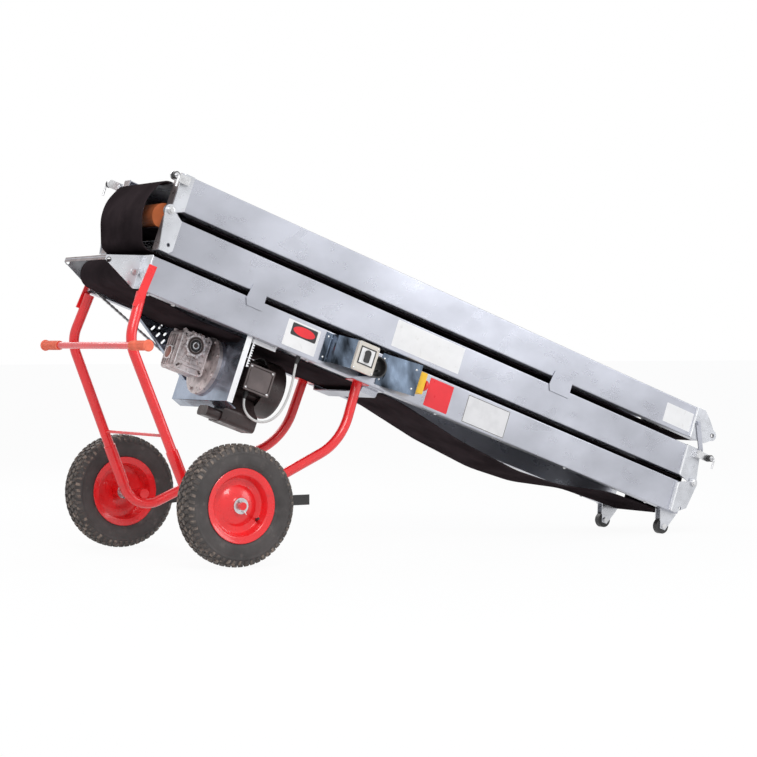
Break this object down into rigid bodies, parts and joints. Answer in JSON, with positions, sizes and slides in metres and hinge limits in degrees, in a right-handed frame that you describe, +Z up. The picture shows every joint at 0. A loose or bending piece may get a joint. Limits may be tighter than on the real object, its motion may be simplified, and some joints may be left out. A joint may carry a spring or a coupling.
{
  "type": "folding brick and block elevator",
  "caption": "Wheeled folding belt elevator for bricks and blocks: stacked sheet steel bed sections that unfold, an electric belt drive, a tube frame with two wheels, and rear casters.",
  "frame": {"origin": "on the floor, at the middle of the machine's overall length and width", "axes": "+X from the feed end and its wheels towards the casters, +Y from the control side to the far side, +Z up"},
  "size_m": [2.5074, 0.936, 1.2633],
  "materials": {
    "galvanised": "satin",
    "bright_zinc": "bright",
    "red_paint": "gloss",
    "black_paint": "satin",
    "salmon_grip": "ribbed",
    "tyre_rubber": "matt",
    "belt_rubber": "ribbed matt",
    "orange_plastic": "gloss",
    "cast_alloy": "as cast",
    "motor_paint": "satin",
    "black_plastic": "matt",
    "cable_grey": "matt",
    "beige_plastic": "matt",
    "yellow_plastic": "satin",
    "red_plastic": "gloss"
  },
  "bodies": {
    "chassis": {"belt_bottom": "belt_rubber", "belt_right_fold": "belt_rubber", "bottom_deck": "galvanised", "bottom_right_plates": "galvanised", "bottom_sides": "galvanised", "capacitor_box": "motor_paint", "caster_forks": "galvanised", "chain_guard": "galvanised", "chain_sprockets": "bright_zinc", "control_shields": "galvanised", "drive_bulkhead": "galvanised", "drive_chain": "bright_zinc", "fan_cowl": "motor_paint", "feed_ears": "galvanised", "feed_lip": "galvanised", "foot_bars": "black_paint", "gearbox": "cast_alloy", "grips": "salmon_grip", "handlebar": "red_paint", "inlet_and_rocker": "black_plastic", "motor": "motor_paint", "motor_cable": "cable_grey", "motor_cable_glands": "black_plastic", "output_seal": "black_plastic", "output_shaft": "bright_zinc", "rear_crossmember": "galvanised", "right_hinge_pins": "bright_zinc", "side_frame_far": "red_paint", "side_frame_near": "red_paint", "stop_box": "yellow_plastic", "stop_button": "red_plastic", "stub_axles": "bright_zinc", "switch_box": "beige_plastic", "tail_roller": "bright_zinc", "terminal_box": "motor_paint", "wheel_fasteners": "bright_zinc"},
    "mid_section": {"mid_clips": "galvanised", "mid_deck": "galvanised", "mid_locks": "bright_zinc", "mid_plates": "galvanised", "mid_sides": "galvanised", "left_hinge_pins": "bright_zinc", "belt_mid": "belt_rubber", "belt_left_fold": "belt_rubber", "fold_roller": "orange_plastic"},
    "top_section": {"top_clips": "galvanised", "top_deck": "galvanised", "top_locks": "bright_zinc", "top_plates": "galvanised", "top_sides": "galvanised", "belt_top": "belt_rubber", "head_roller": "bright_zinc"},
    "wheel_near": {"tyre_near": "tyre_rubber", "rim_near": "red_paint"},
    "wheel_far": {"tyre_far": "tyre_rubber", "rim_far": "red_paint"},
    "caster_near": {"caster_wheel_near": "black_plastic"},
    "caster_far": {"caster_wheel_far": "black_plastic"}
  },
  "joints": [
    {"name": "mid_fold", "type": "hinge", "parent": "chassis", "child": "mid_section", "pos_m": [1.13508, 0, 0.18703], "axis": [0, 1, 0], "range_deg": [0, 180], "deforming": ["belt_right_fold"]},
    {"name": "top_fold", "type": "hinge", "parent": "mid_section", "child": "top_section", "pos_m": [-1.05487, 0, 1.13761], "axis": [0, -1, 0], "range_deg": [0, 180], "deforming": ["belt_left_fold"]},
    {"name": "wheel_near_spin", "type": "hinge", "parent": "chassis", "child": "wheel_near", "pos_m": [-0.9262, -0.417, 0.197], "axis": [0, 1, 0], "continuous": true},
    {"name": "wheel_far_spin", "type": "hinge", "parent": "chassis", "child": "wheel_far", "pos_m": [-0.9262, 0.417, 0.197], "axis": [0, 1, 0], "continuous": true},
    {"name": "caster_near_spin", "type": "hinge", "parent": "chassis", "child": "caster_near", "pos_m": [1.01867, -0.174, 0.028], "axis": [0, 1, 0], "continuous": true},
    {"name": "caster_far_spin", "type": "hinge", "parent": "chassis", "child": "caster_far", "pos_m": [1.01867, 0.174, 0.028], "axis": [0, 1, 0], "continuous": true}
  ]
}
